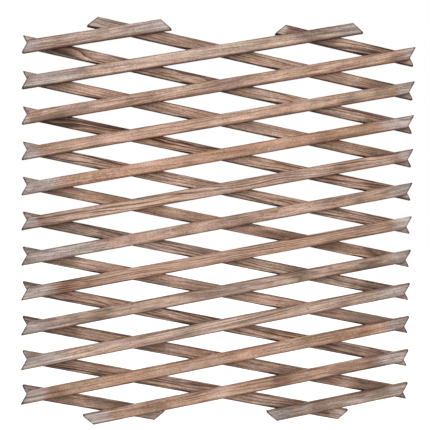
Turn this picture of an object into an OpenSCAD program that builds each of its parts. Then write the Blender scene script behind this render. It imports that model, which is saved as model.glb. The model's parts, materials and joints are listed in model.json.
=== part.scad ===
// Expanding wooden plant trellis: two layers of sawn strips, crossed and pinned so that the panel
// draws out like scissors. Millimetres. The panel stands upright with its wall side on the plane
// y = 0, faces -Y, and has its middle crossing on the origin's Y axis.

/* [Lattice] */
// Strips in each layer, an odd number so that one pair crosses at the middle
slats_per_layer = 13; // [7:2:17]
// Upright columns of nails, an odd number so that one runs through the middle
nail_columns = 5; // [5:2:7]
// Distance between neighbouring nails along a strip
nail_pitch = 160; // [110:1:240]
// Angle between a strip and the level, half the angle at which the layers cross
spread_angle = 10.9; // [7:0.1:45]

/* [Strips] */
// Width of a strip across its face
slat_w = 21; // [14:0.5:28]
// Thickness of a strip
slat_t = 6; // [4:0.5:12]
// Running gap between the two layers
layer_gap = 0.2; // [0.1:0.05:0.5]
// Angle between the sawn end and the edge of a strip
end_cut_angle = 50; // [40:1:90]

/* [Ends past the last nail, along the middle of the strip] */
// Side ends of every strip
side_overhang = 25; // [20:1:45]
// Upper right end of the first front strip from the top
front_first_tail = 59; // [25:1:110]
// Upper right end of the second front strip
front_second_tail = 84; // [25:1:110]
// Lower left end of the front strip before the last
front_fore_last_tail = 74; // [25:1:110]
// Lower left end of the last front strip
front_last_tail = 64; // [25:1:110]
// Upper left end of the first back strip from the top
back_first_tail = 58; // [25:1:110]
// Upper left end of the second back strip
back_second_tail = 72; // [25:1:110]
// Lower right end of the back strip before the last
back_fore_last_tail = 72; // [25:1:110]
// Lower right end of the last back strip
back_last_tail = 54; // [25:1:110]

/* [Nails] */
// Shank diameter
nail_d = 1.6; // [1:0.1:2]
// Head diameter, on the front
nail_head_d = 2.8; // [2.4:0.1:5]
// Head thickness
nail_head_t = 0.7; // [0.4:0.1:1.2]
// Depth of the head below the front face
nail_head_sink = 0.2; // [0.1:0.05:0.5]
// Diameter of the clinched end, on the wall side
nail_clinch_d = 2.6; // [2.4:0.1:5]
// Thickness of the clinched end
nail_clinch_t = 0.6; // [0.4:0.1:1.2]
// Depth of the clinched end below the wall side
nail_clinch_sink = 0.2; // [0.1:0.05:0.5]
// Clearance round the shank in the front strip, which grips it
grip_clearance = 0.02; // [0.01:0.01:0.04]
// Clearance round the shank in the back strip, which turns on it
turn_clearance = 0.05; // [0.03:0.01:0.1]
// Clearance round a head or clinched end in its recess
recess_clearance = 0.15; // [0.05:0.05:0.3]
// Play between a clinched end and the floor of its recess
end_play = 0.1; // [0.05:0.05:0.3]

/* [Hidden] */
front_wood = [0.70, 0.58, 0.48];
back_wood = [0.58, 0.46, 0.37];
nail_steel = [0.30, 0.27, 0.25];
round_sides = 48;
cut_margin = 1;

// Columns of nails are counted from the middle one, so they run from -side_column to side_column
side_column = (nail_columns - 1) / 2;
middle_slat = (slats_per_layer + 1) / 2;
// Rows of nails are counted in half steps from the middle, up to top_row
top_row = slats_per_layer - 2;

// Heights above the wall plane, measured towards the viewer
back_layer_z = 0;
front_layer_z = slat_t + layer_gap;
front_face_z = front_layer_z + slat_t;
head_seat_z = front_face_z - nail_head_sink - nail_head_t;
clinch_top_z = nail_clinch_sink + nail_clinch_t;
clinch_recess_z = clinch_top_z + end_play;
// Half of the length that the sawn end takes up along a strip
end_cut_run = slat_w / 2 / tan(end_cut_angle);
function two_digits(n) = n < 10 ? str("0", n) : str(n);
function front_name(n) = str("front_slat_", two_digits(n));
function back_name(n) = str("back_slat_", two_digits(n));
function nails_name(n) = str("nails_front_slat_", two_digits(n));

// Strips are numbered from the top. The height at which a strip crosses the middle column:
function slat_rise(n) = 2 * (middle_slat - n) * nail_pitch * sin(spread_angle);

// Columns in which a strip is nailed: short strips at the top and bottom miss some
function nailed_columns(n, rising) = [
    for (c = [-side_column : side_column])
        if (abs(2 * (middle_slat - n) + rising * c) <= top_row) c
];
function front_columns(n) = nailed_columns(n, 1);
function back_columns(n) = nailed_columns(n, -1);

// Overhangs past the first and the last nail of a strip
function front_left_tail(n) =
    n == slats_per_layer ? front_last_tail :
    n == slats_per_layer - 1 ? front_fore_last_tail : side_overhang;
function front_right_tail(n) = n == 1 ? front_first_tail : n == 2 ? front_second_tail : side_overhang;
function back_left_tail(n) = n == 1 ? back_first_tail : n == 2 ? back_second_tail : side_overhang;
function back_right_tail(n) =
    n == slats_per_layer ? back_last_tail :
    n == slats_per_layer - 1 ? back_fore_last_tail : side_overhang;

// The edge of a strip on which a sawn end comes to its point: 1 is the upper edge, -1 the lower.
// Full strips point away from the other layer's ends, and short ones towards the panel's middle.
function front_left_point(n) = n >= slats_per_layer - 1 ? 1 : -1;
function front_right_point(n) = n <= 2 ? -1 : 1;
function back_left_point(n) = n <= 2 ? -1 : 1;
function back_right_point(n) = n >= slats_per_layer - 1 ? 1 : -1;

// Stands a panel that was drawn flat, with the viewer above it, upright against the wall plane
module stand_up() {
    rotate([90, 0, 0]) children();
}

// Places what was drawn along a level front or back strip
module on_front_slat(n) {
    stand_up() translate([0, slat_rise(n), 0]) rotate([0, 0, spread_angle]) children();
}

module on_back_slat(n) {
    stand_up() translate([0, slat_rise(n), 0]) rotate([0, 0, -spread_angle]) children();
}

// A level strip with sawn ends, from left to right along its middle line
module strip(left, right, left_point, right_point) {
    half_w = slat_w / 2;
    linear_extrude(slat_t)
        polygon([
            [left + left_point * end_cut_run, -half_w],
            [right - right_point * end_cut_run, -half_w],
            [right + right_point * end_cut_run, half_w],
            [left - left_point * end_cut_run, half_w]
        ]);
}

// A round cut between two heights
module bore(d, low, high) {
    translate([0, 0, low]) cylinder(d = d, h = high - low, $fn = round_sides);
}

module front_slat(n) {
    columns = front_columns(n);
    left = columns[0] * nail_pitch - front_left_tail(n);
    right = columns[len(columns) - 1] * nail_pitch + front_right_tail(n);
    color(front_wood)
        on_front_slat(n)
            difference() {
                translate([0, 0, front_layer_z])
                    strip(left, right, front_left_point(n), front_right_point(n));
                for (c = columns)
                    translate([c * nail_pitch, 0, 0]) {
                        bore(nail_d + 2 * grip_clearance, front_layer_z - cut_margin, front_face_z);
                        bore(nail_head_d + 2 * recess_clearance, head_seat_z, front_face_z + cut_margin);
                    }
            }
}

module back_slat(n) {
    columns = back_columns(n);
    left = columns[0] * nail_pitch - back_left_tail(n);
    right = columns[len(columns) - 1] * nail_pitch + back_right_tail(n);
    color(back_wood)
        on_back_slat(n)
            difference() {
                translate([0, 0, back_layer_z])
                    strip(left, right, back_left_point(n), back_right_point(n));
                for (c = columns)
                    translate([c * nail_pitch, 0, 0]) {
                        bore(nail_d + 2 * turn_clearance, back_layer_z, back_layer_z + slat_t + cut_margin);
                        bore(nail_clinch_d + 2 * recess_clearance, back_layer_z - cut_margin, clinch_recess_z);
                    }
            }
}

// A nail with its head towards the viewer and its point clinched over on the wall side
module nail() {
    shank_r = nail_d / 2;
    head_r = nail_head_d / 2;
    clinch_r = nail_clinch_d / 2;
    rotate_extrude($fn = round_sides)
        polygon([
            [0, nail_clinch_sink],
            [clinch_r, nail_clinch_sink],
            [clinch_r, clinch_top_z],
            [shank_r, clinch_top_z],
            [shank_r, head_seat_z],
            [head_r, head_seat_z],
            [head_r, head_seat_z + nail_head_t],
            [0, head_seat_z + nail_head_t]
        ]);
}

// The nails that a front strip carries, apart from the one at the panel's middle
module slat_nails(n) {
    color(nail_steel)
        on_front_slat(n)
            for (c = front_columns(n))
                if (n != middle_slat || c != 0)
                    translate([c * nail_pitch, 0, 0]) nail();
}

module centre_nail() {
    color(nail_steel) stand_up() nail();
}

for (n = [1 : slats_per_layer]) {
    front_slat(n);
    back_slat(n);
    slat_nails(n);
}
centre_nail();
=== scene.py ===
"""The looks of an expanding wooden plant trellis: sawn strips, pivot nails and a plain studio."""

import json
import logging
import math
import random
from dataclasses import dataclass, field
from enum import Enum
from typing import Mapping, Sequence, Union

import bpy
from mathutils import Matrix, Vector, noise


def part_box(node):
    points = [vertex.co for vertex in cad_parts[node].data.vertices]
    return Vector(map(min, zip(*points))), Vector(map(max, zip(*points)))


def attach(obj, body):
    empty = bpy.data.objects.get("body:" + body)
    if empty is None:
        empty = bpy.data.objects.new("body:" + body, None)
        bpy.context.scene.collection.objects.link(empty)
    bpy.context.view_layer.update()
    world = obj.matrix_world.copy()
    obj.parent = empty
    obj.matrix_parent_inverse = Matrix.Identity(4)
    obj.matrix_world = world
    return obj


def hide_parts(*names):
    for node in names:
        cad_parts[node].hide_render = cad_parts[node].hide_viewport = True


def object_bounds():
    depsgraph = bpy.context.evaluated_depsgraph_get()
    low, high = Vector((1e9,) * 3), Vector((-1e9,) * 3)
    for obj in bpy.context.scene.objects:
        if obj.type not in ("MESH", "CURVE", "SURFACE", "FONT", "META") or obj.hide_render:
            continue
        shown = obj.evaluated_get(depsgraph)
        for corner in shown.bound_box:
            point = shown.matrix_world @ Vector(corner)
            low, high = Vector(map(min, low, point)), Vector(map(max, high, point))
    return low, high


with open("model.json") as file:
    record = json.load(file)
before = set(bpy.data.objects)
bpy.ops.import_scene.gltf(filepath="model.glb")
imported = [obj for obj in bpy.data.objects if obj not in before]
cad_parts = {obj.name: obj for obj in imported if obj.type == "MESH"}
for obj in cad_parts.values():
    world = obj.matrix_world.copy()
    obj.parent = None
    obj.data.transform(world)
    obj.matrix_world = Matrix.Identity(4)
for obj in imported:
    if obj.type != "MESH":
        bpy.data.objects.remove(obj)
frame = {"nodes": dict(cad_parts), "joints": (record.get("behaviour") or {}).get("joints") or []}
CAD_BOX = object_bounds()

LOG = logging.getLogger("trellis")
MM = 0.001
IMAGE_SIDE = 430
NOISE_MEAN = 0.5
BAKE_MAP = "OFBake"
RING_PLACE = "ring_place"
CUT_PLACE = "cut_place"
WEATHERING = "weathering"
TRAITS = "traits"
# A strip's four arrises: at its upper (1) or lower side, and towards the viewer (1) or the wall.
CORNERS = ((1, 1), (-1, 1), (-1, -1), (1, -1))

Colour = tuple[float, float, float]
Span = tuple[float, float]
Line = tuple[float, float]
Value = Union["Flow", float]


def linear(red: int, green: int, blue: int) -> Colour:
    """Turn a screen colour into the light values that shaders use, by the sRGB curve.

    Args:
        red: Red, 0 to 255.
        green: Green, 0 to 255.
        blue: Blue, 0 to 255.

    Returns:
        The same colour in linear light.
    """
    def channel(level: int) -> float:
        """Undo the screen curve for one channel."""
        share = level / 255
        return share / 12.92 if share <= 0.04045 else ((share + 0.055) / 1.055) ** 2.4

    return channel(red), channel(green), channel(blue)


def smoothstep(low: float, high: float, value: float) -> float:
    """Ease from 0 at low to 1 at high.

    Args:
        low: Where the rise starts.
        high: Where the rise ends; below low for a fall.
        value: The place asked about.

    Returns:
        A share from 0 to 1.
    """
    share = min(max((value - low) / (high - low), 0.0), 1.0)
    return share * share * (3 - 2 * share)


class Layer(Enum):
    """The two layers of strips: the front one rises to the right, the back one falls."""

    FRONT = 1
    BACK = -1

    @property
    def word(self) -> str:
        """The layer's word in the names of nodes and bodies."""
        return self.name.lower()


class Sawing(Enum):
    """How a strip was cut from its log, by where the pith lies from its middle line (mm)."""

    QUARTER = (78.0, -9.0)
    RIFT = (46.0, -42.0)
    FLAT = (6.0, -31.0)
    SLASH = (21.0, -26.0)


class Tone(Enum):
    """A strip's own cast of colour, as its warmth, which is greyer below 0, and its darkness."""

    WASHED = (-0.4, -0.2)
    PALE = (0.05, 0.35)
    HONEY = (0.58, 0.05)
    TAN = (0.42, 0.25)
    WARM = (0.8, 0.35)
    GINGER = (1.05, 0.35)
    BROWN = (0.45, 0.75)
    UMBER = (0.5, 1.25)
    DUN = (0.1, 0.7)
    GREY = (-0.8, 0.4)


class Figure(Enum):
    """How strongly a strip's growth rings show; the weaker they are, the more granular its face."""

    PLAIN = 0.25
    FAINT = 0.6
    BOLD = 1.0


class Grain(Enum):
    """Random patterns in wood: how many fill a metre across and along the fibres, and their detail."""

    FINE = (3400.0, 60.0, 3.0)
    FIBRE = (1300.0, 18.0, 2.0)
    STREAK = (430.0, 5.5, 2.0)
    FLECK = (520.0, 70.0, 2.0)
    GRIT = (620.0, 380.0, 3.0)
    DASH = (1500.0, 80.0, 1.0)
    PATCH = (42.0, 9.0, 3.0)
    BLOOM = (120.0, 34.0, 3.0)
    DRIFT = (26.0, 13.0, 2.0)
    SMUDGE = (75.0, 24.0, 2.0)
    BLUSH = (70.0, 17.0, 2.0)


Weights = tuple[tuple[Grain, float], ...]


@dataclass(frozen=True)
class Board:
    """What one strip looks like: its cut, cast and figure, how far its ends have greyed (mm), its stains.

    A stain's place is a share of the strip's length from its left end.
    """

    sawing: Sawing
    tone: Tone
    figure: Figure
    left_grey: float
    right_grey: float
    stains: tuple[float, ...] = ()


class Flow:
    """A value on its way through nodes, so that shader maths reads as Python."""

    def __init__(self, nodes: "Nodes", socket: bpy.types.NodeSocket) -> None:
        """Keep the tree and the socket that the value comes out of."""
        self.nodes = nodes
        self.socket = socket

    def __add__(self, other: Value) -> "Flow":
        """This value plus another."""
        return self.nodes.maths("ADD", self, other)

    def __radd__(self, other: Value) -> "Flow":
        """Another value plus this one."""
        return self.nodes.maths("ADD", other, self)

    def __sub__(self, other: Value) -> "Flow":
        """This value less another."""
        return self.nodes.maths("SUBTRACT", self, other)

    def __rsub__(self, other: Value) -> "Flow":
        """Another value less this one."""
        return self.nodes.maths("SUBTRACT", other, self)

    def __mul__(self, other: Value) -> "Flow":
        """This value times another."""
        return self.nodes.maths("MULTIPLY", self, other)

    def __rmul__(self, other: Value) -> "Flow":
        """Another value times this one."""
        return self.nodes.maths("MULTIPLY", other, self)

    def __truediv__(self, other: Value) -> "Flow":
        """This value over another."""
        return self.nodes.maths("DIVIDE", self, other)

    def __rtruediv__(self, other: Value) -> "Flow":
        """Another value over this one."""
        return self.nodes.maths("DIVIDE", other, self)


class Nodes:
    """A node tree that is built by expressions."""

    def __init__(self, tree: bpy.types.NodeTree) -> None:
        """Keep the tree that the nodes go into."""
        self.tree = tree

    def feed(self, socket: bpy.types.NodeSocket, value: object) -> None:
        """Link a flow to a socket, or set the socket's own value.

        Args:
            socket: The input to fill.
            value: A flow, a number, or a tuple for a colour or vector.
        """
        if isinstance(value, Flow):
            self.tree.links.new(value.socket, socket)
        elif socket.type == "RGBA":
            socket.default_value = (*value[:3], 1.0)
        else:
            socket.default_value = value

    def node(self, kind: str, settings: Mapping[str, object],
             sockets: Mapping[Union[str, int], object]) -> bpy.types.Node:
        """Add one node.

        Args:
            kind: Blender's name for the node's type.
            settings: Properties, set before the sockets.
            sockets: Values or flows for its inputs, by name or number.

        Returns:
            The new node.
        """
        made = self.tree.nodes.new(kind)
        for name, value in settings.items():
            setattr(made, name, value)
        for key, value in sockets.items():
            self.feed(made.inputs[key], value)
        return made

    def flow(self, kind: str, settings: Mapping[str, object],
             sockets: Mapping[Union[str, int], object], output: Union[str, int] = 0) -> Flow:
        """Add one node and follow one of its outputs.

        Args:
            kind: Blender's name for the node's type.
            settings: Properties, set before the sockets.
            sockets: Values or flows for its inputs.
            output: The output's name or number.

        Returns:
            The flow out of that output.
        """
        return Flow(self, self.node(kind, settings, sockets).outputs[output])

    def maths(self, operation: str, *values: Value) -> Flow:
        """One Math node on one or two values."""
        return self.flow("ShaderNodeMath", {"operation": operation}, dict(enumerate(values)))

    def attribute(self, name: str) -> tuple[Flow, Flow, Flow]:
        """Read a vector that is stored on the mesh.

        Args:
            name: The name it is stored under.

        Returns:
            Its three parts.
        """
        stored = self.flow("ShaderNodeAttribute", {"attribute_name": name}, {}, "Vector")
        parts = self.node("ShaderNodeSeparateXYZ", {}, {0: stored}).outputs
        return Flow(self, parts[0]), Flow(self, parts[1]), Flow(self, parts[2])

    def join(self, x: Value, y: Value, z: Value) -> Flow:
        """A vector made of three values."""
        return self.flow("ShaderNodeCombineXYZ", {}, {0: x, 1: y, 2: z})

    def rise(self, value: Flow, low: float, high: float) -> Flow:
        """A smooth rise from 0 at low to 1 at high, or a fall where high is below low."""
        return self.flow("ShaderNodeMapRange", {"interpolation_type": "SMOOTHSTEP"},
                         {"Value": value, "From Min": low, "From Max": high})

    @staticmethod
    def line(value: Flow, start: float, gain: float) -> Flow:
        """A straight line: what it starts from, and what it gains with a value."""
        return value * gain + start

    def cloud(self, place: Flow, detail: float, roughness: float = 0.5) -> Flow:
        """Soft random values, about 0.5 on the whole, over a place that is already scaled."""
        return self.flow("ShaderNodeTexNoise", {},
                         {"Vector": place, "Scale": 1.0, "Detail": detail, "Roughness": roughness})

    def mix(self, share: Value, first: object, second: object, blend: str = "MIX") -> Flow:
        """A colour between two others, or one laid over the other."""
        return self.flow("ShaderNodeMix", {"data_type": "RGBA", "blend_type": blend},
                         {"Factor": share, 6: first, 7: second}, 2)

    def scale(self, vector: object, factor: Value) -> Flow:
        """A colour or place times a factor."""
        return self.flow("ShaderNodeVectorMath", {"operation": "SCALE"}, {0: vector, "Scale": factor})

    def seen(self) -> Flow:
        """Tell what the camera looks at from what only lights the panel.

        Returns:
            1 where the camera looks, straight or by way of metal or glass, and 0 for other light.
        """
        rays = self.node("ShaderNodeLightPath", {}, {}).outputs
        straight, mirrored, through = (
            Flow(self, rays[f"Is {kind} Ray"]) for kind in ("Camera", "Glossy", "Transmission"))
        return self.maths("MAXIMUM", self.maths("MAXIMUM", straight, mirrored), through)


class Paint(Nodes):
    """The nodes of one material, ending in its surface shader."""

    def __init__(self, name: str) -> None:
        """Make an empty material.

        Args:
            name: The material's name.
        """
        self.material = bpy.data.materials.new(name)
        self.material.use_nodes = True
        super().__init__(self.material.node_tree)
        self.shader = self.tree.nodes["Principled BSDF"]

    def surface(self, sockets: Mapping[str, object]) -> bpy.types.Material:
        """Fill the surface shader's sockets.

        Args:
            sockets: Values or flows by the socket's name.

        Returns:
            The finished material.
        """
        for name, value in sockets.items():
            self.feed(self.shader.inputs[name], value)
        return self.material

    def bump(self, height: Flow, strength: float, distance: float) -> Flow:
        """A surface direction that follows small heights."""
        return self.flow("ShaderNodeBump", {},
                         {"Strength": strength, "Distance": distance, "Height": height}, "Normal")


@dataclass(frozen=True)
class GrowthRings:
    """How a log's rings wander and darken.

    A pace is how many random values fill a metre, across the rings and along the log. Spans are
    shares of one ring's width.
    """

    width: float = 4.4 * MM
    wobble: float = 15.0 * MM
    wobble_pace: Span = (38.0, 6.5)
    uneven: float = 2.4
    uneven_pace: Span = (230.0, 2.5)
    detail: float = 2.0
    darkening: Span = (0.38, 0.86)
    ending: Span = (1.0, 0.92)


@dataclass(frozen=True)
class EdgeShade:
    """A strip's dark cut ends, and painted shade on its sides, along its arrises and where it passes
    behind a front strip; the sides are partly dark sawn wood.
    """

    # Painted shade, partly dark sawn wood: the tint of the sides and the widths of the bands along the
    # long edges.
    side_tint: Colour
    lower_band: float
    upper_band: float
    # Painted shade where a back strip's lower edge passes behind the next front strip: how strong, its
    # tint, where it starts and is full, and how much it widens the line.
    grime: float
    grime_tint: Colour = (0.34, 0.27, 0.22)
    grime_span: Span = (92.0 * MM, 56.0 * MM)
    grime_width: float = 1.6 * MM
    end_tint: Colour = (0.36, 0.28, 0.24)
    end_span: Span = (3.3 * MM, 1.4 * MM)
    end_ragged: float = 0.6
    ragged: float = 2.4 * MM
    inset: float = 0.4 * MM
    unbroken: Span = (0.3, 0.6)


@dataclass(frozen=True)
class WoodFinish:
    """Unpainted sawn softwood that has stood outdoors: growth rings, fibres, patches and grey ends.

    A span is where something starts and where it is full. A line is what something starts from and
    what it gains with a value. Weights are how far each pattern swings a sum.
    """

    name: str
    half_width: float
    early: Colour
    late: Colour
    warm: Colour
    grey: Colour
    ring_contrast: float
    streak_contrast: float
    grain_contrast: float
    # How much painted shade darkens a back strip near its crossings, where the front strips shade it.
    sheltered: float
    edges: EdgeShade
    rings: GrowthRings = GrowthRings()
    grain_roughness: float = 0.62
    dash_span: Span = (0.6, 0.67)
    smudge_span: Span = (0.56, 0.74)
    streak_span: Span = (0.47, 0.7)
    streak_by_figure: Line = (0.5, 0.6)
    thread_span: Span = (0.53, 0.68)
    thread_share: float = 0.4
    ring_by_patch: Line = (0.2, 1.2)
    warm_span: Span = (0.37, 0.6)
    warm_by_patch: Line = (0.4, 0.4)
    worn_weights: Weights = ((Grain.BLOOM, 0.9), (Grain.STREAK, 0.8))
    worn_span: Span = (0.12, 0.9)
    worn_most: float = 0.95
    haze_weights: Weights = ((Grain.BLOOM, 0.7), (Grain.PATCH, -1.0))
    haze_span: Span = (-0.1, 0.2)
    haze_by_cloud: Line = (0.12, 0.3)
    silver_light: float = 1.1
    silver_rings: float = 0.3
    silver_streaks: float = 0.35
    silver_threads: float = 0.25
    stain_span: Span = (7.0 * MM, 1.0 * MM)
    stain_ragged: float = 9.0 * MM
    stain_smudge: Span = (-0.2, 1.0)
    # Painted shade towards a strip's ends: how far in it reaches, where it is full, and how much less it
    # is on greyed wood.
    damp_reach: float = 185.0 * MM
    damp_full: float = 10.0 * MM
    damp_by_wear: Line = (0.34, -0.25)
    tone_by_figure: Line = (1.05, 0.15)
    tone_weights: Weights = ((Grain.BLOOM, 0.6), (Grain.DRIFT, 1.4), (Grain.PATCH, 0.5))
    tone_least: float = 0.5
    dark_depth: float = 0.3
    smudge_depth: float = 0.12
    stain_depth: float = 0.2
    # Painted shade near a crossing: how far from a nail it starts, and where it is full.
    shelter_span: Span = (76.0 * MM, 40.0 * MM)
    texture_weights: Weights = (
        (Grain.STREAK, 1.9), (Grain.FIBRE, 0.8), (Grain.FINE, 0.8), (Grain.FLECK, 0.5))
    grit_by_figure: Line = (1.75, -0.95)
    texture_span: Span = (-0.7, 0.7)
    texture_mean: float = 0.99
    dash_depth: float = 0.18
    dry_span: Span = (0.6, 1.45)
    deep_cast: Colour = (1.03, 0.975, 0.93)
    dry_cast: Colour = (0.965, 1.005, 1.055)
    dry_cast_by_grey: Line = (1.0, -0.7)
    blush_span: Span = (0.36, 0.64)
    straw_cast: Colour = (0.991, 1.028, 0.96)
    rose_cast: Colour = (1.013, 0.964, 1.017)
    blush_share: float = 0.6
    relief_weights: Weights = ((Grain.FINE, 0.5), (Grain.FIBRE, 0.4))
    relief_rings: float = 0.5
    relief_dashes: float = 0.5
    relief_strength: float = 0.5
    relief_depth: float = 0.35 * MM
    roughness: float = 0.7
    rough_fine: float = 0.16
    rough_worn: float = 0.1
    rough_rings: float = 0.08
    gloss: float = 0.22

    def material(self) -> bpy.types.Material:
        """Make the wood."""
        return WoodShader(self).surface()


class WoodShader:
    """The nodes of one wood, from what is stored on the strips to their surface."""

    def __init__(self, finish: WoodFinish) -> None:
        """Start the material and lay out the patterns that its parts share.

        Args:
            finish: The wood's colours and measures.
        """
        self.finish = finish
        self.paint = Paint(finish.name)
        self.across, self.deep, self.along = self.paint.attribute(RING_PLACE)
        self.beside, self.from_nail, self.from_end = self.paint.attribute(CUT_PLACE)
        self.wash, self.warmth, self.darkness = self.paint.attribute(WEATHERING)
        self.figure, self.ahead, _ = self.paint.attribute(TRAITS)
        self.grains = {grain: self.pattern(grain) for grain in Grain}
        self.late = self.rings()
        self.dash = self.spots(Grain.DASH, finish.dash_span)
        self.smudge = self.spots(Grain.SMUDGE, finish.smudge_span)
        self.threads = self.spots(Grain.FIBRE, finish.thread_span)
        by_figure = self.paint.line(self.figure, *finish.streak_by_figure)
        self.streaks = self.spots(Grain.STREAK, finish.streak_span) * by_figure * finish.streak_contrast
        self.worn = self.paint.rise(self.wash + self.swings(finish.worn_weights), *finish.worn_span)

    def pattern(self, grain: Grain) -> Flow:
        """Draw random values out along the fibres.

        Args:
            grain: Which pattern.

        Returns:
            Its values, about 0.5 on the whole.
        """
        crosswise, lengthwise, detail = grain.value
        spot = self.paint.join(self.across * crosswise, self.deep * crosswise, self.along * lengthwise)
        return self.paint.cloud(spot, detail, self.finish.grain_roughness)

    def spots(self, grain: Grain, span: Span) -> Flow:
        """The places where a pattern runs high, from 0 to 1."""
        return self.paint.rise(self.grains[grain], *span)

    def swing(self, grain: Grain, weight: Value) -> Flow:
        """A pattern that swings to both sides of nothing."""
        return (self.grains[grain] - NOISE_MEAN) * weight

    def swings(self, weights: Weights) -> Flow:
        """Several patterns that swing to both sides of nothing, added up."""
        return sum(self.swing(grain, weight) for grain, weight in weights)

    def rings(self) -> Flow:
        """Draw the growth rings round the pith.

        Returns:
            How much of the dark late wood shows, 0 to 1.
        """
        paint, rings = self.paint, self.finish.rings
        crosswise, lengthwise = rings.wobble_pace
        spot = paint.join(self.across * crosswise, self.deep * crosswise, self.along * lengthwise)
        slow = paint.cloud(spot, rings.detail)
        radius = paint.maths("SQRT", self.across * self.across + self.deep * self.deep)
        radius = radius + (slow - NOISE_MEAN) * rings.wobble
        crosswise, lengthwise = rings.uneven_pace
        uneven = paint.cloud(paint.join(radius * crosswise, self.along * lengthwise, 0.0), rings.detail)
        turn = paint.maths("FRACT", radius / rings.width + uneven * rings.uneven)
        return paint.rise(turn, *rings.darkening) * paint.rise(turn, *rings.ending)

    def fresh(self) -> Flow:
        """Colour the wood as it was before it greyed.

        Returns:
            Pale early wood with its rings, streaks, fibres and warm patches.
        """
        finish, paint = self.finish, self.paint
        ringed = self.late * paint.line(self.grains[Grain.PATCH], *finish.ring_by_patch)
        colour = paint.mix(ringed * self.figure * finish.ring_contrast, finish.early, finish.late)
        colour = paint.mix(self.streaks, colour, finish.late)
        colour = paint.mix(self.threads * finish.thread_share, colour, finish.late)
        tint = tuple(warm / early for warm, early in zip(finish.warm, finish.early))
        patches = paint.line(self.spots(Grain.PATCH, finish.warm_span), *finish.warm_by_patch)
        return paint.mix(patches * self.warmth, colour, tint, "MULTIPLY")

    def greyed(self) -> Flow:
        """Find how far the wood has greyed.

        Returns:
            A share from 0 to 1: the washed-out ends, and a thin haze on strips that aren't warm.
        """
        finish, paint = self.finish, self.paint
        cloudy = paint.rise(self.swings(finish.haze_weights), *finish.haze_span)
        haze = paint.line(cloudy, *finish.haze_by_cloud) * (1 - self.warmth)
        return paint.maths("MAXIMUM", self.worn * finish.worn_most, haze)

    def silver(self) -> Flow:
        """Colour the wood where it has greyed.

        Returns:
            Grey wood with its rings, streaks and fibres.
        """
        finish = self.finish
        light = finish.silver_light - self.late * finish.silver_rings
        light = light - self.streaks * finish.silver_streaks - self.threads * finish.silver_threads
        return self.paint.scale(finish.grey, light)

    def tone(self) -> Flow:
        """Vary the wood's lightness, with painted shade towards the ends and near the crossings.

        Returns:
            How light it is, without its grain.
        """
        finish, paint = self.finish, self.paint
        near_nail = self.from_nail + self.swing(Grain.BLOOM, finish.stain_ragged)
        stain = paint.rise(near_nail, *finish.stain_span) * paint.rise(self.smudge, *finish.stain_smudge)
        # Painted shade: darker towards the ends, and less where the wood has greyed.
        near_end = self.from_end + self.swing(Grain.DRIFT, finish.damp_reach)
        end_shade = paint.rise(near_end, finish.damp_reach, finish.damp_full)
        tone = paint.line(self.figure, *finish.tone_by_figure) - self.darkness * finish.dark_depth
        tone = tone - end_shade * paint.line(self.worn, *finish.damp_by_wear)
        tone = tone + self.swings(finish.tone_weights)
        tone = tone - self.smudge * finish.smudge_depth - stain * finish.stain_depth
        # Painted shade: darker near the crossings, where the front strips shade the back ones, and
        # lighter between them.
        near_crossing = paint.rise(self.from_nail, *finish.shelter_span)
        tone = tone - (near_crossing - 0.5) * finish.sheltered
        return paint.maths("MAXIMUM", tone, finish.tone_least)

    def texture(self) -> Flow:
        """Draw the fine grain.

        Returns:
            How light it makes the wood: lines, flecks and grit, less the dark dashes.
        """
        finish, paint = self.finish, self.paint
        grit = self.swing(Grain.GRIT, paint.line(self.figure, *finish.grit_by_figure))
        grain = paint.rise(self.swings(finish.texture_weights) + grit, *finish.texture_span)
        return finish.texture_mean + (grain - 0.5) * finish.grain_contrast - self.dash * finish.dash_depth

    def tinted(self, colour: Flow, light: Flow, greyed: Flow) -> Flow:
        """Let the hue change with the lightness and drift along the strip.

        Args:
            colour: The wood's colour so far.
            light: How light the wood is.
            greyed: How far it has greyed; grey wood takes less of the first cast.

        Returns:
            The wood with its casts.
        """
        finish, paint = self.finish, self.paint
        cast = paint.mix(paint.rise(light, *finish.dry_span), finish.deep_cast, finish.dry_cast)
        colour = paint.mix(paint.line(greyed, *finish.dry_cast_by_grey), colour, cast, "MULTIPLY")
        cast = paint.mix(self.spots(Grain.BLUSH, finish.blush_span), finish.straw_cast, finish.rose_cast)
        return paint.mix(finish.blush_share, colour, cast, "MULTIPLY")

    def edged(self, colour: Flow) -> Flow:
        """Darken the sides and cut ends, and a thin ragged line along the arrises; the sides and lines
        are painted shade, partly dark sawn wood.

        The line along the upper edge fades out in places, and the painted shade along the lower edge
        widens where a back strip passes behind the next front strip.

        Args:
            colour: The wood's colour so far.

        Returns:
            The colour with its edges.
        """
        paint, edges = self.paint, self.finish.edges
        uneven = self.swing(Grain.BLOOM, edges.ragged)
        rim = self.finish.half_width - edges.inset
        # Painted shade along the upper edge, partly dark sawn wood.
        upper = paint.rise(self.beside + uneven, rim - edges.upper_band, rim)
        upper = upper * self.spots(Grain.PATCH, edges.unbroken)
        # Painted shade where a back strip passes behind the next front strip: how near that strip is.
        under_front_shade = paint.rise(self.ahead, *edges.grime_span) * edges.grime
        # Painted shade along the lower edge, partly dark sawn wood, widened where a back strip passes
        # behind a front strip.
        inward = uneven - self.beside + under_front_shade * edges.grime_width
        lower = paint.rise(inward, rim - edges.lower_band, rim)
        cut = paint.rise(self.from_end + uneven * edges.end_ragged, *edges.end_span)
        # Darken the sides and the bands along the edges: painted shade, partly dark sawn wood.
        colour = paint.mix(upper + lower, colour, edges.side_tint, "MULTIPLY")
        # Painted shade: a darker tint in the widened lower line behind the next front strip.
        colour = paint.mix(under_front_shade * lower, colour, edges.grime_tint, "MULTIPLY")
        return paint.mix(cut, colour, edges.end_tint, "MULTIPLY")

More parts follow.
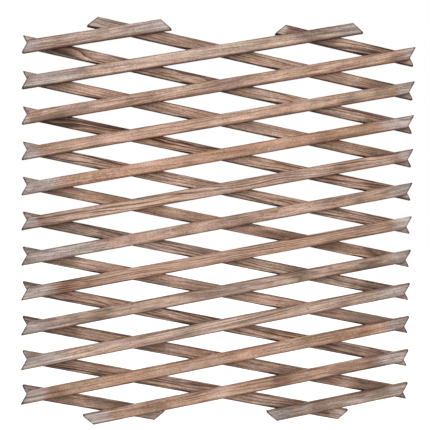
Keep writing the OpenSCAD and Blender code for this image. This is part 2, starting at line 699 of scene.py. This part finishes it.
    def surface(self) -> bpy.types.Material:
        """Lay the wood's colour, roughness and small relief on the surface.

        Returns:
            The finished material.
        """
        finish, paint = self.finish, self.paint
        light = self.tone() * self.texture()
        greyed = self.greyed()
        colour = paint.scale(paint.mix(greyed, self.fresh(), self.silver()), light)
        height = self.swings(finish.relief_weights)
        height = height + self.late * finish.relief_rings - self.dash * finish.relief_dashes
        rough = finish.roughness + self.grains[Grain.FINE] * finish.rough_fine
        rough = rough + self.worn * finish.rough_worn - self.late * finish.rough_rings
        return paint.surface({
            "Base Color": self.edged(self.tinted(colour, light, greyed)),
            "Roughness": rough,
            "Specular IOR Level": finish.gloss,
            "Normal": paint.bump(height, finish.relief_strength, finish.relief_depth),
        })


@dataclass(frozen=True)
class SteelFinish:
    """Dull bare steel that has begun to rust."""

    name: str
    bright: Colour
    rust: Colour
    blotch_pace: float = 900.0
    blotch_detail: float = 3.0
    blotch_roughness: float = 0.65
    rust_span: Span = (0.4, 0.62)
    metallic_by_rust: Line = (0.6, -0.5)
    rough_by_rust: Line = (0.5, 0.35)
    pit_strength: float = 0.3
    pit_depth: float = 0.12 * MM

    def material(self) -> bpy.types.Material:
        """Make the steel.

        Returns:
            The material of every nail.
        """
        paint = Paint(self.name)
        place = paint.flow("ShaderNodeTexCoord", {}, {}, "Object")
        spot = paint.scale(place, self.blotch_pace)
        blotch = paint.cloud(spot, self.blotch_detail, self.blotch_roughness)
        rusted = paint.rise(blotch, *self.rust_span)
        return paint.surface({
            "Base Color": paint.mix(rusted, self.bright, self.rust),
            "Metallic": paint.line(rusted, *self.metallic_by_rust),
            "Roughness": paint.line(rusted, *self.rough_by_rust),
            "Normal": paint.bump(blotch, self.pit_strength, self.pit_depth),
        })


@dataclass(frozen=True)
class LatticePlan:
    """The lattice as it was packed: where strips cross and how far it is drawn out."""

    pitch: float
    angle: float
    count: int

    @classmethod
    def read(cls) -> "LatticePlan":
        """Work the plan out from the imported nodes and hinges.

        The hinge of the back strip two above the middle one lies two crossings from the middle.

        Returns:
            The plan of this trellis.
        """
        count = sum(name.startswith("front_slat_") for name in frame["nodes"])
        crossings = 2
        pivots = {joint["child"]: Vector(joint["pos_m"]) for joint in frame["joints"]}
        hinge = pivots[f"back_strip_{(count + 1) // 2 - crossings:02d}"]
        return cls(math.hypot(hinge.x, hinge.z) / crossings, math.atan2(hinge.z, hinge.x), count)

    @property
    def middle(self) -> int:
        """The number of the strips that cross in the middle of the panel."""
        return (self.count + 1) // 2

    def rise(self, number: int) -> float:
        """Height of a strip's middle over the middle of the panel."""
        return 2 * (self.middle - number) * self.pitch * math.sin(self.angle)

    def place(self, layer: Layer, number: int, depth: float) -> Matrix:
        """Find a strip's own axes: along it, up across it and towards the viewer.

        Args:
            layer: Front or back.
            number: The strip's number from the top.
            depth: Where the strip's own zero height lies along Y.

        Returns:
            The matrix from the strip's axes to the frame.
        """
        turn = self.angle * layer.value
        along = Vector((math.cos(turn), 0.0, math.sin(turn)))
        across = Vector((-math.sin(turn), 0.0, math.cos(turn)))
        out = Vector((0.0, -1.0, 0.0))
        axes = Matrix((along, across, out)).transposed().to_4x4()
        return Matrix.Translation((0.0, depth, self.rise(number))) @ axes


@dataclass(frozen=True)
class Outline:
    """A strip's sawn outline in its own axes: its two ends at the lower and the upper edge."""

    left_lower: float
    left_upper: float
    right_lower: float
    right_upper: float
    half_width: float

    @classmethod
    def read(cls, node: str, place: Matrix, near: float = 0.01) -> "Outline":
        """Read the outline from a packed strip.

        Args:
            node: The strip's node.
            place: The strip's own axes.
            near: How close to an edge a point counts as on it, as a share of half the width.

        Returns:
            Its outline.
        """
        back = place.inverted()
        points = [back @ vertex.co for vertex in frame["nodes"][node].data.vertices]
        edge = max(point.y for point in points)
        inner = edge - near * edge
        lower = [point.x for point in points if point.y < -inner]
        upper = [point.x for point in points if point.y > inner]
        return cls(min(lower), min(upper), max(lower), max(upper), edge)

    @property
    def left(self) -> float:
        """The left end on the middle line."""
        return (self.left_lower + self.left_upper) / 2

    @property
    def right(self) -> float:
        """The right end on the middle line."""
        return (self.right_lower + self.right_upper) / 2

    @property
    def length(self) -> float:
        """The length of the middle line."""
        return self.right - self.left

    @property
    def left_run(self) -> float:
        """How far the left end slants from the middle line to the upper edge."""
        return (self.left_upper - self.left_lower) / 2

    @property
    def right_run(self) -> float:
        """How far the right end slants from the middle line to the upper edge."""
        return (self.right_upper - self.right_lower) / 2


@dataclass
class Strip:
    """One sawn strip of the lattice, with worn arrises, rough sides and sunk nail places.

    A pace is how many random values fill a metre, and a row sets one random pattern apart from
    another. end_ease gives distances from an end and how far the section draws in there,
    dimple_lines gives distances from a nail and chip_reach gives half the length of a chip. These
    and end_slack are in mm.
    """

    plan: LatticePlan
    layer: Layer
    number: int
    board: Board
    arris: float = 0.6 * MM
    arris_swing: float = 0.7
    arris_least: float = 0.2 * MM
    arris_most: float = 1.25 * MM
    arris_steps: int = 3
    arris_pace: float = 28.0
    arris_row: float = 7.3
    chip_count: int = 9
    chip_depth: float = 0.8 * MM
    chip_reach: Span = (3.0, 9.0)
    side_rough: float = 0.22 * MM
    side_pace: float = 95.0
    side_row: float = 3.1
    side_lines: float = 0.3
    station_step: float = 6.5 * MM
    end_zone: float = 22.0 * MM
    end_ease: Sequence[Span] = ((0.0, 0.45), (0.2, 0.15), (0.7, 0.0))
    end_slack: float = 0.01
    face_inset: float = 0.05 * MM
    outer_lines: int = 3
    plain_lines: int = 7
    dimple_lines: Sequence[float] = (0.0, 0.6, 1.2, 1.6, 2.1, 3.0, 4.4)
    dimple_depth: float = 0.28 * MM
    dimple_span: Span = (0.25 * MM, -0.1 * MM)
    crush_depth: float = 0.16 * MM
    crush_span: Span = (1.7 * MM, 0.2 * MM)
    bow: float = 0.45 * MM
    bow_pace: float = 4.5
    bow_row: float = 3.7
    wave: float = 0.16 * MM
    wave_share: float = 0.35
    wave_pace: Span = (14.0, 130.0)
    ridge_share: float = 0.15
    ridge_pace: Span = (40.0, 520.0)
    blunt: float = 1.9 * MM
    blunt_reach: float = 4.2 * MM
    log_length: float = 40.0
    grey_fade: Span = (0.0, 0.35)
    stain_reach: float = 26.0 * MM
    stain_depth: float = 0.9
    ring_lean: float = 0.04
    pith_spread: Span = (0.8, 1.25)
    tone_spread: float = 0.08
    ring_density: Span = (0.8, 1.3)
    chart_margin: float = 0.008
    cap_band: float = 0.06
    cap_first: float = 0.1
    cap_step: float = 0.4
    cap_size: float = 0.2
    node: str = field(init=False)
    body: str = field(init=False)
    half_thick: float = field(init=False)
    place: Matrix = field(init=False)
    outline: Outline = field(init=False)
    nails: list[float] = field(init=False)
    head_radius: float = field(init=False)
    seed: random.Random = field(init=False)
    shift: float = field(init=False)
    fade: float = field(init=False)
    chips: list[tuple[float, int, float]] = field(init=False)

    def __post_init__(self) -> None:
        """Find the strip's node, place, outline and nails in the frame, and draw its random wear."""
        self.node = f"{self.layer.word}_slat_{self.number:02d}"
        self.body = f"{self.layer.word}_strip_{self.number:02d}"
        low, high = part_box(self.node)
        self.half_thick = (high.y - low.y) / 2
        self.place = self.plan.place(self.layer, self.number, (low.y + high.y) / 2)
        self.outline = Outline.read(self.node, self.place)
        columns = [column * self.plan.pitch for column in range(-self.plan.count, self.plan.count + 1)]
        self.nails = [place for place in columns if self.outline.left < place < self.outline.right]
        head_low, head_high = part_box("centre_nail")
        self.head_radius = (head_high.x - head_low.x) / 2
        self.seed = random.Random(f"{self.node} grain")
        self.shift = self.seed.uniform(0, self.log_length)
        self.fade = self.seed.uniform(*self.grey_fade)
        self.chips = [
            (self.seed.uniform(self.outline.left, self.outline.right), self.seed.randrange(len(CORNERS)),
             self.seed.uniform(*self.chip_reach) * MM) for _ in range(self.chip_count)]

    def stations(self) -> list[float]:
        """Choose the cross-sections along the strip, close together at nails and ends.

        Returns:
            Distances from the left end, in order.
        """
        eased = [inward * MM for inward, _ in self.end_ease]
        fixed = set(eased) | {self.outline.length - inward for inward in eased}
        for nail in self.nails:
            middle = nail - self.outline.left
            for line in self.dimple_lines:
                fixed.update((middle + line * MM, middle - line * MM))
        ordered = sorted(fixed)
        filled = [ordered[0]]
        for station in ordered[1:]:
            start = filled[-1]
            gap = station - start
            parts = max(1, round(gap / self.station_step))
            filled.extend(start + gap * part / parts for part in range(1, parts + 1))
        return filled

    def face_lines(self, nailed: bool) -> list[float]:
        """Choose the lines along a wide face, finer across the nails where their ends are sunk in it.

        Args:
            nailed: Whether nail heads or tails are sunk in this face.

        Returns:
            Places across the strip, in order.
        """
        edge = self.outline.half_width - self.arris_most - self.face_inset
        if not nailed:
            return [edge * (2 * line / (self.plain_lines - 1) - 1) for line in range(self.plain_lines)]
        inner = [line * MM for line in self.dimple_lines]
        gap = edge - inner[-1]
        outer = [inner[-1] + gap * step / self.outer_lines for step in range(1, self.outer_lines + 1)]
        half = inner + outer
        return [-place for place in reversed(half[1:])] + half

    def arris_at(self, along: float, corner: int) -> float:
        """How far an arris has worn at one place.

        Args:
            along: Place along the strip.
            corner: Which of the four arrises.

        Returns:
            Its radius.
        """
        worn = noise.noise(Vector((along * self.arris_pace, corner * self.arris_row, self.shift)))
        radius = self.arris * (1 + self.arris_swing * worn)
        for middle, side, reach in self.chips:
            if side == corner:
                radius += self.chip_depth * smoothstep(reach, 0.0, abs(along - middle))
        return min(max(radius, self.arris_least), self.arris_most)

    def side_at(self, along: float, side: int) -> float:
        """How far out a rough sawn side lies, for the upper side (1) or the lower one (-1)."""
        rough = noise.noise(Vector((along * self.side_pace, side * self.side_row, self.shift)))
        return self.outline.half_width - self.side_rough * (1 + rough)

    def relief(self, along: float, across: float, outward: int) -> float:
        """How deep a wide face lies under its sawn plane.

        Args:
            along: Place along the strip.
            across: Place across the strip.
            outward: 1 for the face towards the viewer, -1 for the face towards the wall.

        Returns:
            The depth, never less than nothing.
        """
        def swell(pace: Span, row: float) -> float:
            """Random heights at these paces along and across the strip."""
            return 1 + noise.noise(Vector((along * pace[0], across * pace[1], row)))

        waves = self.wave_share * swell(self.wave_pace, self.shift + outward)
        ridges = self.ridge_share * swell(self.ridge_pace, self.shift - outward)
        depth = self.wave * (waves + ridges)
        if outward == self.layer.value:
            beyond = min(math.hypot(along - nail, across) for nail in self.nails) - self.head_radius
            depth += self.dimple_depth * smoothstep(*self.dimple_span, beyond)
            depth += self.crush_depth * smoothstep(*self.crush_span, beyond)
        return depth

    def corner(self, along: float, index: int, side: int, out: int) -> list[Vector]:
        """Draw one worn arris of a cross-section.

        Args:
            along: Place along the strip.
            index: Which of the four arrises.
            side: 1 at the upper side, -1 at the lower one.
            out: 1 towards the viewer, -1 towards the wall.

        Returns:
            Points from the strip's side to its wide face.
        """
        radius = self.arris_at(along, index)
        across, height = self.side_at(along, side) - radius, self.half_thick - radius
        arc = []
        for step in range(self.arris_steps + 1):
            turn = math.pi / 2 * step / self.arris_steps
            arc.append(Vector((0.0, side * (across + radius * math.cos(turn)),
                               out * (height + radius * math.sin(turn)))))
        return arc

    def section(self, along: float, inset: float) -> list[Vector]:
        """Draw one cross-section, anticlockwise seen from the strip's right end.

        Args:
            along: Place along the strip, for wear and relief.
            inset: How far the section draws in, at an eased end.

        Returns:
            Points across (y) and out (z).
        """
        wide, thick = self.outline.half_width, self.half_thick
        flat = (thick - self.arris_most) * self.side_lines
        points: list[Vector] = []
        for index, (side, out) in enumerate(CORNERS):
            arc = self.corner(along, index, side, out)
            if side != out:
                points.extend(reversed(arc))
                continue
            face = side * self.side_at(along, side)
            points.extend(Vector((0.0, face, height)) for height in (-out * flat, out * flat))
            points.extend(arc)
            lines = self.face_lines(out == self.layer.value)
            for across in reversed(lines) if out > 0 else lines:
                points.append(Vector((0.0, across, out * (thick - self.relief(along, across, out)))))
        for point in points:
            point.y = math.copysign(min(abs(point.y), wide - inset), point.y)
            point.z = math.copysign(min(abs(point.z), thick - inset), point.z)
        return points

    def worn_back(self, across: float, run: float) -> float:
        """How far a slanted end has worn back near its sharp corner.

        Args:
            across: Place across the strip.
            run: The end's slant, as if it were the right one; its sign says which corner is sharp.

        Returns:
            The distance along the strip, 0 away from that corner.
        """
        sharp = math.copysign(self.outline.half_width, run)
        near = max(0.0, 1 - abs(sharp - across) / self.blunt_reach)
        return self.blunt * near * near

    def inset_at(self, from_end: float) -> float:
        """How far the section draws in near an end.

        Args:
            from_end: Distance from the nearer end.

        Returns:
            The inset, 0 away from the end.
        """
        for inward, inset in self.end_ease:
            if from_end <= (inward + self.end_slack) * MM:
                return inset * MM
        return 0.0

    def build(self) -> bpy.types.Object:
        """Make the strip's mesh and set it in the place of its node.

        Returns:
            The strip.
        """
        sawn = self.outline
        stations = self.stations()
        points: list[Vector] = []
        facts: list[Span] = []
        rings: list[list[Vector]] = []
        for station in stations:
            along = sawn.left + station
            from_end = min(station, sawn.length - station)
            ring = self.section(along, self.inset_at(from_end))
            bow = self.bow * noise.noise(Vector((along * self.bow_pace, self.shift, self.bow_row)))
            left = max(0.0, 1 - station / self.end_zone)
            right = max(0.0, 1 - (sawn.length - station) / self.end_zone)
            slant = (left * sawn.left_run + right * sawn.right_run) / sawn.half_width
            for point in ring:
                point.x = along + slant * point.y
                point.x += left * self.worn_back(point.y, -sawn.left_run)
                point.x -= right * self.worn_back(point.y, sawn.right_run)
                points.append(Vector((point.x, point.y + bow, point.z)))
                facts.append((point.y, from_end))
            rings.append(ring)
        faces, places = self.faces(stations, rings)
        mesh = bpy.data.meshes.new(self.node)
        mesh.from_pydata([self.place @ point for point in points], [], faces)
        mesh.polygons.foreach_set("use_smooth", [len(face) == 4 for face in faces])
        self.mark(mesh, points, facts)
        chart = mesh.uv_layers.new(name=BAKE_MAP)
        chart.data.foreach_set("uv", [part for place in places for part in place])
        strip = bpy.data.objects.new(f"{self.body}_wood", mesh)
        bpy.context.scene.collection.objects.link(strip)
        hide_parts(self.node)
        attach(strip, self.body)
        return strip

    def faces(self, stations: Sequence[float],
              rings: Sequence[Sequence[Vector]]) -> tuple[list[tuple[int, ...]], list[Span]]:
        """Join the sections, close the ends and lay the skin out flat in rows.

        Args:
            stations: Distances of the sections from the left end.
            rings: The sections.

        Returns:
            The faces, and a place on the flat chart for each corner of each face.
        """
        def inside(share: float) -> float:
            """A share of a chart's row, kept off the row's edges."""
            return self.chart_margin + (1 - 2 * self.chart_margin) * share

        around = len(rings[0])
        middle = rings[len(rings) // 2]
        girth = [0.0]
        for index in range(around):
            girth.append(girth[-1] + (middle[(index + 1) % around] - middle[index]).yz.length)
        length = stations[-1]
        rows = max(1, round(math.sqrt(length / girth[-1])))
        row_height = (1 - self.cap_band) / rows
        faces: list[tuple[int, ...]] = []
        places: list[Span] = []
        for step in range(len(stations) - 1):
            pair = stations[step:step + 2]
            row = min(int(sum(pair) / 2 / length * rows), rows - 1)
            start, stop = (inside(min(max(station / length * rows - row, 0), 1)) for station in pair)
            near, far = step * around, (step + 1) * around
            for index in range(around):
                follow = (index + 1) % around
                faces.append((near + index, near + follow, far + follow, far + index))
                runs = girth[index:index + 2]
                low, high = ((row + inside(run / girth[-1])) * row_height for run in runs)
                places.extend(((start, low), (start, high), (stop, high), (stop, low)))
        last = (len(rings) - 1) * around
        caps = ((0, rings[0], range(around - 1, -1, -1)), (last, rings[-1], range(around)))
        for cap, (first, ring, order) in enumerate(caps):
            faces.append(tuple(first + index for index in order))
            places.extend(self.cap_place(cap, ring[index]) for index in order)
        return faces, places

    def cap_place(self, cap: int, point: Vector) -> Span:
        """Find a point of an end on the flat chart.

        Args:
            cap: 0 for the left end, 1 for the right one.
            point: A point of the end's section.

        Returns:
            Its place in the band above the rows of the skin.
        """
        wide = 2 * self.outline.half_width
        across = self.cap_first + self.cap_step * cap + (point.y / wide + 0.5) * self.cap_size
        return across, 1 - self.cap_band / 2 + point.z / wide * self.cap_size

    def wash_at(self, along: float) -> float:
        """How grey the wood has washed out at one place.

        Args:
            along: Place along the strip.

        Returns:
            A share from 0 to 1.
        """
        ends = ((along - self.outline.left, self.board.left_grey * MM),
                (self.outline.right - along, self.board.right_grey * MM))
        return max(smoothstep(reach, reach * self.fade, inward) for inward, reach in ends)

    def stain_at(self, along: float) -> float:
        """How much darker the board's own stains make one place.

        Args:
            along: Place along the strip.

        Returns:
            The added darkness.
        """
        inward = along - self.outline.left
        away = [abs(inward - share * self.outline.length) for share in self.board.stains]
        return sum(self.stain_depth * smoothstep(self.stain_reach, 0.0, distance) for distance in away)

    def mark(self, mesh: bpy.types.Mesh, points: Sequence[Vector], facts: Sequence[Span]) -> None:
        """Store on the mesh where each point lay in the log and how it has weathered.

        Args:
            mesh: The strip's mesh.
            points: Its points in the strip's own axes.
            facts: Each point's place across the strip and distance from the nearer end.
        """
        pith_across, pith_deep = (part * MM for part in self.board.sawing.value)
        side = self.seed.choice((-1, 1))
        lean, tip = (self.seed.uniform(-1, 1) * self.ring_lean for _ in range(2))
        pith_across *= side * self.seed.uniform(*self.pith_spread)
        pith_deep *= self.seed.uniform(*self.pith_spread)
        warmth, darkness = self.board.tone.value
        darkness += self.seed.uniform(-self.tone_spread, self.tone_spread)
        dense = self.seed.uniform(*self.ring_density)
        stored: dict[str, list[float]] = {RING_PLACE: [], CUT_PLACE: [], WEATHERING: [], TRAITS: []}
        for point, (across, from_end) in zip(points, facts):
            along = point.x
            # Distance to the nearest nail, for the stain round a nail and the painted shade near a
            # crossing.
            from_nail = min(math.hypot(along - nail, across) for nail in self.nails)
            # How far the next nail lies ahead, which places the painted shade where a back strip passes
            # behind the next front strip.
            ahead = min((nail - along for nail in self.nails if nail > along), default=self.plan.pitch)
            stored[RING_PLACE].extend(((point.y - pith_across + lean * along) * dense,
                                       (point.z - pith_deep + tip * along) * dense, along + self.shift))
            stored[CUT_PLACE].extend((across, from_nail, from_end))
            stored[WEATHERING].extend((self.wash_at(along), warmth, darkness + self.stain_at(along)))
            stored[TRAITS].extend((self.board.figure.value, ahead, 0.0))
        for name, values in stored.items():
            mesh.attributes.new(name, "FLOAT_VECTOR", "POINT").data.foreach_set("vector", values)

    def dress(self, strip: bpy.types.Object, wood: bpy.types.Material) -> None:
        """Give the strip its wood."""
        strip.data.materials.append(wood)


@dataclass
class NailRow:
    """The nails of one front strip: a hammered head in front, a peened tail behind.

    Each curve gives shares of a radius, and shares of the tail's thickness over its foot, of the
    head's thickness under its top, or of the dome over the top. tail_tip's second share is of the
    dome, under the foot.
    """

    plan: LatticePlan
    node: str
    body: str
    number: int
    places: Sequence[float]
    shank: float = 0.8 * MM
    tail: float = 1.3 * MM
    tail_thick: float = 0.6 * MM
    tail_tip: Span = (0.35, 0.3)
    tail_curve: Sequence[Span] = ((0.75, 0.0), (0.96, 0.3), (1.0, 0.6), (0.92, 1.0))
    head_thick: float = 0.7 * MM
    head_curve: Sequence[Span] = ((0.94, 1.0), (1.0, 0.8), (1.0, 0.25), (0.93, 0.04))
    dome: float = 0.14 * MM
    dome_curve: Sequence[Span] = ((0.7, 0.45), (0.35, 0.85))
    dent: float = 0.05 * MM
    dent_pace: float = 900.0
    dent_rise: float = 300.0
    struck_rings: int = 3
    sides: int = 20

    def profile(self) -> list[Span]:
        """Draw half a nail from the tip of its tail to the top of its head.

        Returns:
            Radius and height above the wall plane, in order.
        """
        low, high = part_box("centre_nail")
        head = (high.x - low.x) / 2
        top, foot = -low.y, -high.y
        tip, under = self.tail_tip
        points = [(self.tail * tip, foot - self.dome * under)]
        points.extend((self.tail * share, foot + self.tail_thick * up) for share, up in self.tail_curve)
        points.extend(((self.shank, foot + self.tail_thick), (self.shank, top - self.head_thick)))
        points.extend((head * share, top - self.head_thick * down) for share, down in self.head_curve)
        points.extend((head * share, top + self.dome * up) for share, up in self.dome_curve)
        return points

    def struck(self, spot: Vector, ring: int, rings: int) -> float:
        """How far hammer blows have pushed in a point of the nail's head or tail.

        Args:
            spot: The point.
            ring: Which ring of the profile it is on.
            rings: How many rings the profile has.

        Returns:
            The change in its height.
        """
        if self.struck_rings <= ring < rings - self.struck_rings:
            return 0.0
        across = spot.xy * self.dent_pace
        blow = noise.noise(Vector((across.x + self.number, across.y, spot.z * self.dent_rise)))
        depth = self.dent * (1 + blow) / 2
        return depth if ring < self.struck_rings else -depth

    def build(self) -> bpy.types.Object:
        """Make the nails in one mesh and set them in the place of their node.

        Returns:
            The nails.
        """
        points: list[Vector] = []
        faces: list[tuple[int, ...]] = []
        place = self.plan.place(Layer.FRONT, self.number, 0.0)
        profile = self.profile()
        for along in self.places:
            first = len(points)
            for ring, (radius, height) in enumerate(profile):
                for side in range(self.sides):
                    turn = 2 * math.pi * side / self.sides
                    spot = Vector((along + radius * math.cos(turn), radius * math.sin(turn), height))
                    spot.z += self.struck(spot, ring, len(profile))
                    points.append(place @ spot)
            for ring in range(len(profile) - 1):
                near = first + ring * self.sides
                far = near + self.sides
                for side in range(self.sides):
                    follow = (side + 1) % self.sides
                    faces.append((near + side, near + follow, far + follow, far + side))
            faces.append(tuple(first + side for side in reversed(range(self.sides))))
            faces.append(tuple(len(points) - self.sides + side for side in range(self.sides)))
        mesh = bpy.data.meshes.new(self.node)
        mesh.from_pydata(points, [], faces)
        mesh.polygons.foreach_set("use_smooth", [True] * len(faces))
        nails = bpy.data.objects.new(f"{self.node}_steel", mesh)
        bpy.context.scene.collection.objects.link(nails)
        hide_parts(self.node)
        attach(nails, self.body)
        return nails

    def dress(self, nails: bpy.types.Object, steel: bpy.types.Material) -> None:
        """Give the nails their steel."""
        nails.data.materials.append(steel)


@dataclass(frozen=True)
class Lamp:
    """A lamp: its direction round the panel and over the horizon (degrees), and its strength."""

    name: str
    azimuth: float
    elevation: float
    strength: float


@dataclass
class Studio:
    """The photograph's viewpoint, a pale floor and plain soft light."""

    azimuth: float = -3.26
    elevation: float = 1.36
    roll: float = 0.72
    distance: float = 0.8
    aim_left: float = 10.6 * MM
    aim_up: float = 14.5 * MM
    focal_pixels: float = 451.4
    lamps: Sequence[Lamp] = (Lamp("key_lamp", -14.0, 50.0, 1.92), Lamp("fill_lamp", 165.0, 22.0, 1.7))
    lamp_softness: float = 110.0
    sky: float = 0.6
    floor_drop: float = 1.42
    floor_side: float = 24.0
    floor_seen: float = 0.93
    floor_bounce: float = 0.3
    floor_roughness: float = 0.9

    @staticmethod
    def heading(azimuth: float, elevation: float) -> Vector:
        """The direction from the object towards a place at these angles, in degrees."""
        side, up = math.radians(azimuth), math.radians(elevation)
        return Vector((math.sin(side) * math.cos(up), -math.cos(side) * math.cos(up), math.sin(up)))

    def camera(self) -> bpy.types.Object:
        """Set the camera where the photograph was taken from.

        Returns:
            The scene's camera.
        """
        data = bpy.data.cameras.new("viewpoint")
        data.lens = self.focal_pixels * data.sensor_width / IMAGE_SIDE
        back = self.heading(self.azimuth, self.elevation)
        level = back.to_track_quat("Z", "Y").to_matrix()
        axes = Matrix.Rotation(math.radians(self.roll), 3, back) @ level
        centre = Vector((0.0, (CAD_BOX[0].y + CAD_BOX[1].y) / 2, 0.0))
        aim = centre - axes.col[0] * self.aim_left + axes.col[1] * self.aim_up
        camera = bpy.data.objects.new("viewpoint", data)
        camera.matrix_world = Matrix.Translation(aim + back * self.distance) @ axes.to_4x4()
        bpy.context.scene.collection.objects.link(camera)
        bpy.context.scene.camera = camera
        return camera

    def hang(self, lamp: Lamp) -> bpy.types.Object:
        """Hang one broad soft lamp.

        Args:
            lamp: Where it hangs and how bright it is.

        Returns:
            The lamp in the scene.
        """
        data = bpy.data.lights.new(lamp.name, "SUN")
        data.energy = lamp.strength
        data.angle = math.radians(self.lamp_softness)
        hung = bpy.data.objects.new(lamp.name, data)
        hung.rotation_mode = "QUATERNION"
        hung.rotation_quaternion = self.heading(lamp.azimuth, lamp.elevation).to_track_quat("Z", "Y")
        bpy.context.scene.collection.objects.link(hung)
        return hung

    def surround(self) -> None:
        """Light the room evenly, and show it white to the camera and in the steel."""
        world = bpy.data.worlds.new("studio")
        world.use_nodes = True
        bpy.context.scene.world = world
        nodes = Nodes(world.node_tree)
        light = world.node_tree.nodes["Background"]
        nodes.feed(light.inputs["Color"], (1.0, 1.0, 1.0))
        nodes.feed(light.inputs["Strength"], self.sky + nodes.seen() * (1 - self.sky))

    def floor(self) -> bpy.types.Object:
        """Lay a pale floor well below the panel, so that it can be drawn out over it.

        Returns:
            The floor.
        """
        half = self.floor_side / 2
        mesh = bpy.data.meshes.new("studio_floor")
        corners = [(-half, -half), (half, -half), (half, half), (-half, half)]
        mesh.from_pydata([(x, y, -self.floor_drop) for x, y in corners], [], [(0, 1, 2, 3)])
        floor = bpy.data.objects.new("studio_floor", mesh)
        bpy.context.scene.collection.objects.link(floor)
        paint = Paint("studio_floor")
        mesh.materials.append(paint.surface({
            "Base Color": paint.mix(paint.seen(), (self.floor_bounce,) * 3, (self.floor_seen,) * 3),
            "Roughness": self.floor_roughness,
            "Specular IOR Level": 0.0,
        }))
        return floor

    def build(self) -> None:
        """Make the whole studio."""
        self.camera()
        for lamp in self.lamps:
            self.hang(lamp)
        self.surround()
        self.floor()
        bpy.context.scene.view_settings.view_transform = "Standard"


FRONT_BOARDS = (
    Board(Sawing.RIFT, Tone.WASHED, Figure.FAINT, 60, 110),
    Board(Sawing.SLASH, Tone.PALE, Figure.PLAIN, 170, 90),
    Board(Sawing.QUARTER, Tone.HONEY, Figure.FAINT, 12, 30),
    Board(Sawing.RIFT, Tone.HONEY, Figure.FAINT, 45, 60, (0.83,)),
    Board(Sawing.SLASH, Tone.GINGER, Figure.PLAIN, 90, 76),
    Board(Sawing.QUARTER, Tone.TAN, Figure.BOLD, 35, 30),
    Board(Sawing.RIFT, Tone.TAN, Figure.PLAIN, 230, 70, (0.4, 0.86)),
    Board(Sawing.QUARTER, Tone.WARM, Figure.BOLD, 90, 50, (0.11,)),
    Board(Sawing.FLAT, Tone.DUN, Figure.FAINT, 95, 55, (0.72,)),
    Board(Sawing.QUARTER, Tone.PALE, Figure.FAINT, 115, 90),
    Board(Sawing.RIFT, Tone.WARM, Figure.PLAIN, 65, 62, (0.08, 0.73)),
    Board(Sawing.SLASH, Tone.WARM, Figure.FAINT, 64, 90, (0.6, 0.9)),
    Board(Sawing.QUARTER, Tone.GREY, Figure.PLAIN, 70, 50, (0.52,)),
)

BACK_BOARDS = (
    Board(Sawing.RIFT, Tone.HONEY, Figure.BOLD, 20, 30),
    Board(Sawing.QUARTER, Tone.TAN, Figure.FAINT, 80, 35),
    Board(Sawing.SLASH, Tone.TAN, Figure.BOLD, 60, 50),
    Board(Sawing.QUARTER, Tone.HONEY, Figure.FAINT, 40, 60),
    Board(Sawing.RIFT, Tone.WARM, Figure.BOLD, 55, 45),
    Board(Sawing.QUARTER, Tone.TAN, Figure.BOLD, 35, 50),
    Board(Sawing.FLAT, Tone.WARM, Figure.FAINT, 50, 60),
    Board(Sawing.QUARTER, Tone.DUN, Figure.BOLD, 60, 40),
    Board(Sawing.RIFT, Tone.BROWN, Figure.FAINT, 35, 70),
    Board(Sawing.SLASH, Tone.BROWN, Figure.BOLD, 60, 35),
    Board(Sawing.QUARTER, Tone.UMBER, Figure.FAINT, 45, 50),
    Board(Sawing.RIFT, Tone.BROWN, Figure.BOLD, 50, 45),
    Board(Sawing.QUARTER, Tone.BROWN, Figure.FAINT, 45, 80),
)

BOARDS = {Layer.FRONT: FRONT_BOARDS, Layer.BACK: BACK_BOARDS}


def wood_finishes(half_width: float) -> dict[Layer, WoodFinish]:
    """Mix the two woods.

    Args:
        half_width: Half the width of a strip, for the shade of its sides.

    Returns:
        The finish of each layer.
    """
    front = WoodFinish(
        name="front_wood", half_width=half_width,
        early=linear(214, 182, 162), late=linear(108, 78, 62),
        warm=linear(204, 157, 127), grey=linear(187, 171, 163),
        ring_contrast=1.12, streak_contrast=0.35, grain_contrast=1.16, sheltered=0.0,
        # Painted shade on the sides and along the edges, widest along the lower edge; partly dark sawn
        # wood.
        edges=EdgeShade(
            side_tint=(0.4, 0.31, 0.27), lower_band=3.9 * MM, upper_band=2.6 * MM, grime=0.0))
    back = WoodFinish(
        name="back_wood", half_width=half_width,
        early=linear(209, 176, 155), late=linear(95, 69, 55),
        warm=linear(202, 156, 128), grey=linear(203, 178, 166),
        # Painted shade near the crossings.
        ring_contrast=1.34, streak_contrast=0.95, grain_contrast=1.52, sheltered=0.25,
        # Painted shade on the sides and along the edges, partly dark sawn wood.
        edges=EdgeShade(
            # Painted shade where the back strips pass behind front strips.
            side_tint=(0.21, 0.14, 0.11), lower_band=1.8 * MM, upper_band=2.2 * MM, grime=1.0))
    return {Layer.FRONT: front, Layer.BACK: back}


def main() -> None:
    """Set up the studio, then build and dress the strips and the nails."""
    logging.basicConfig(level=logging.INFO, format="%(name)s: %(message)s")
    plan = LatticePlan.read()
    Studio().build()
    strips = [Strip(plan, layer, number, BOARDS[layer][(number - 1) % len(BOARDS[layer])])
              for layer in Layer for number in range(1, plan.count + 1)]
    finishes = wood_finishes(strips[0].outline.half_width)
    woods = {layer: finish.material() for layer, finish in finishes.items()}
    steel = SteelFinish("nail_steel", linear(158, 146, 136), linear(142, 112, 94)).material()
    for strip in strips:
        piece = strip.build()
        strip.dress(piece, woods[strip.layer])
        LOG.info("%s: %d faces on %s", piece.name, len(piece.data.polygons), strip.body)
    rows = [NailRow(plan, "centre_nail", "centre_pivot", plan.middle, [0.0])]
    for strip in strips:
        if strip.layer is Layer.FRONT:
            places = [place for place in strip.nails if strip.number != plan.middle or place]
            rows.append(NailRow(plan, f"nails_{strip.node}", strip.body, strip.number, places))
    for row in rows:
        piece = row.build()
        row.dress(piece, steel)
        LOG.info("%s: %d nails on %s", piece.name, len(row.places), row.body)


if __name__ == "__main__":
    main()
